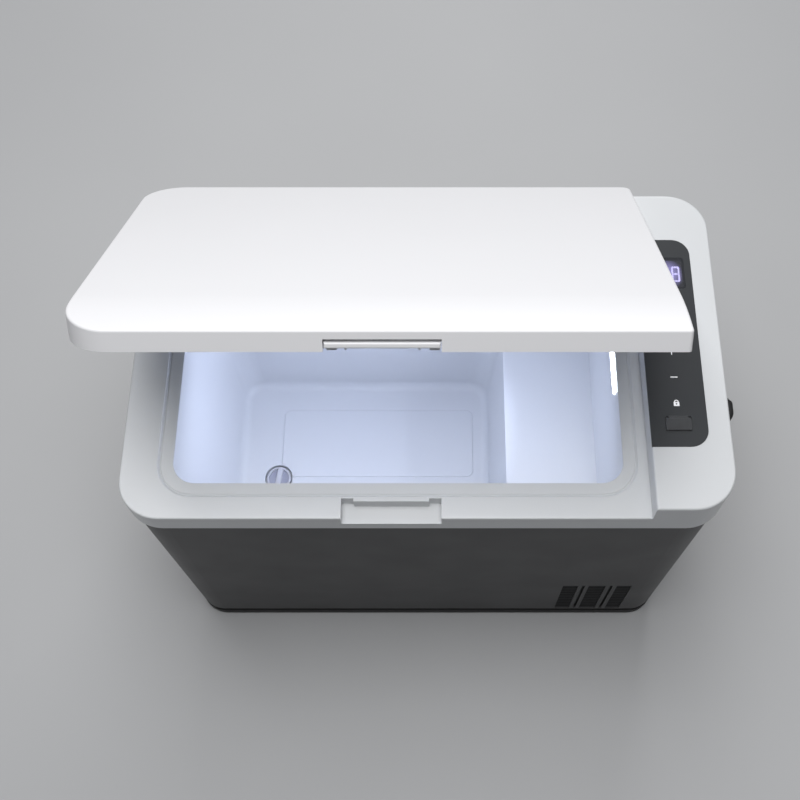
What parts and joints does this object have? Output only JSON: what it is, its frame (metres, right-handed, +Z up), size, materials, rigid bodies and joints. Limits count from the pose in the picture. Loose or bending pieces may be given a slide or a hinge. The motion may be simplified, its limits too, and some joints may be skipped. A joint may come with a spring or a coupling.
{
  "type": "compressor cooler fridge",
  "caption": "Portable 12 V chest fridge: tapered cabinet, light top frame with raised control console, rear-hinged lid with sprung latch, lit tub with step and drain.",
  "frame": {"origin": "middle of the whole footprint, lid overhang and power inlet included, on the surface it stands on", "axes": "+Z up, -Y the front with the latch, +X the side with the control console"},
  "size_m": [0.596, 0.361, 0.6207],
  "materials": {
    "cabinet_black": "fine-textured dark grey moulding",
    "base_black": "black moulded base",
    "frame_grey": "light grey satin moulding",
    "lid_white": "white satin moulding",
    "liner_white": "white food-safe liner",
    "foam": "rigid polyurethane foam",
    "rubber_black": "soft black rubber",
    "gasket_grey": "grey soft gasket",
    "steel_zinc": "zinc-plated steel",
    "steel_black": "black enamel",
    "aluminium": "mill finish aluminium",
    "copper": "drawn copper tube",
    "pcb_green": "green circuit board",
    "panel_grey": "satin dark grey control panel",
    "smoke_window": "smoked clear window",
    "rubber_grey": "soft rubber in the panel's dark grey",
    "icon_white": "white printed key marks",
    "digits_lit": "lit display segments",
    "led_diffuser": "frosted LED diffuser",
    "socket_black": "black socket moulding"
  },
  "bodies": {
    "cabinet": {"base_tray": "base_black", "rubber_feet": "rubber_black", "foot_screws": "steel_zinc", "cabinet_shell": "cabinet_black", "base_screws": "steel_black", "front_grille": "cabinet_black", "front_louvres": "base_black", "side_grille": "cabinet_black", "top_frame": "frame_grey", "tub_liner": "liner_white", "cabinet_foam": "foam", "evaporator_sheet": "aluminium", "evaporator_tube": "copper", "machine_bay_wall": "steel_zinc", "compressor_plate": "steel_zinc", "compressor": "steel_black", "compressor_terminal_box": "socket_black", "compressor_grommets": "rubber_black", "compressor_bolts": "steel_zinc", "condenser_fins": "aluminium", "condenser_tube": "copper", "suction_pipe": "copper", "discharge_pipe": "copper", "filter_drier": "copper", "fan_frame": "socket_black", "power_board": "pcb_green", "heat_sink": "aluminium", "display_board": "pcb_green", "control_panel": "panel_grey", "key_icons": "icon_white", "display_window": "smoke_window", "display_module": "socket_black", "display_digits": "digits_lit", "usb_socket": "steel_zinc", "inlet_housing": "socket_black", "dc_socket": "socket_black", "drain_tube": "frame_grey", "led_board": "pcb_green", "led_lens": "led_diffuser", "temperature_sensor": "socket_black", "hinge_brackets": "base_black", "hinge_pins": "steel_zinc", "hinge_screws": "steel_zinc"},
    "lid": {"lid_outer": "lid_white", "lid_inner": "liner_white", "lid_foam": "foam", "lid_gasket": "gasket_grey", "lid_screws": "steel_zinc", "latch_pin": "steel_zinc", "latch_spring": "steel_zinc"},
    "latch": {"latch_handle": "lid_white"},
    "usb_flap": {"usb_cover": "rubber_grey"},
    "inlet_flap": {"inlet_cover": "rubber_black"},
    "fan": {"fan_rotor": "socket_black"},
    "plug": {"drain_plug": "frame_grey", "drain_seal": "rubber_black"}
  },
  "joints": [
    {"name": "lid_hinge", "type": "hinge", "parent": "cabinet", "child": "lid", "pos_m": [-0.008, 0.1745, 0.404], "axis": [-1, 0, 0], "range_deg": [-36.9, 58]},
    {"name": "latch_pivot", "type": "hinge", "parent": "lid", "child": "latch", "pos_m": [-0.039, -0.10639, 0.60615], "axis": [-1, 0, 0], "range_deg": [0, 14], "stiffness_Nm_per_rad": 0.25, "springref_deg": -11.46},
    {"name": "usb_cover_hinge", "type": "hinge", "parent": "cabinet", "child": "usb_flap", "pos_m": [0.2324, -0.0873, 0.41555], "axis": [-1, 0, 0], "range_deg": [0, 100]},
    {"name": "inlet_cover_hinge", "type": "hinge", "parent": "cabinet", "child": "inlet_flap", "pos_m": [0.29, -0.0497, 0.3708], "axis": [1, 0, 0], "range_deg": [0, 80]},
    {"name": "fan_spin", "type": "hinge", "parent": "cabinet", "child": "fan", "pos_m": [0.187, -0.0995, 0.088], "axis": [0, 1, 0], "continuous": true},
    {"name": "drain_plug_lift", "type": "slide", "parent": "cabinet", "child": "plug", "axis": [0, 0, 1], "range_m": [0, 0.04]}
  ]
}
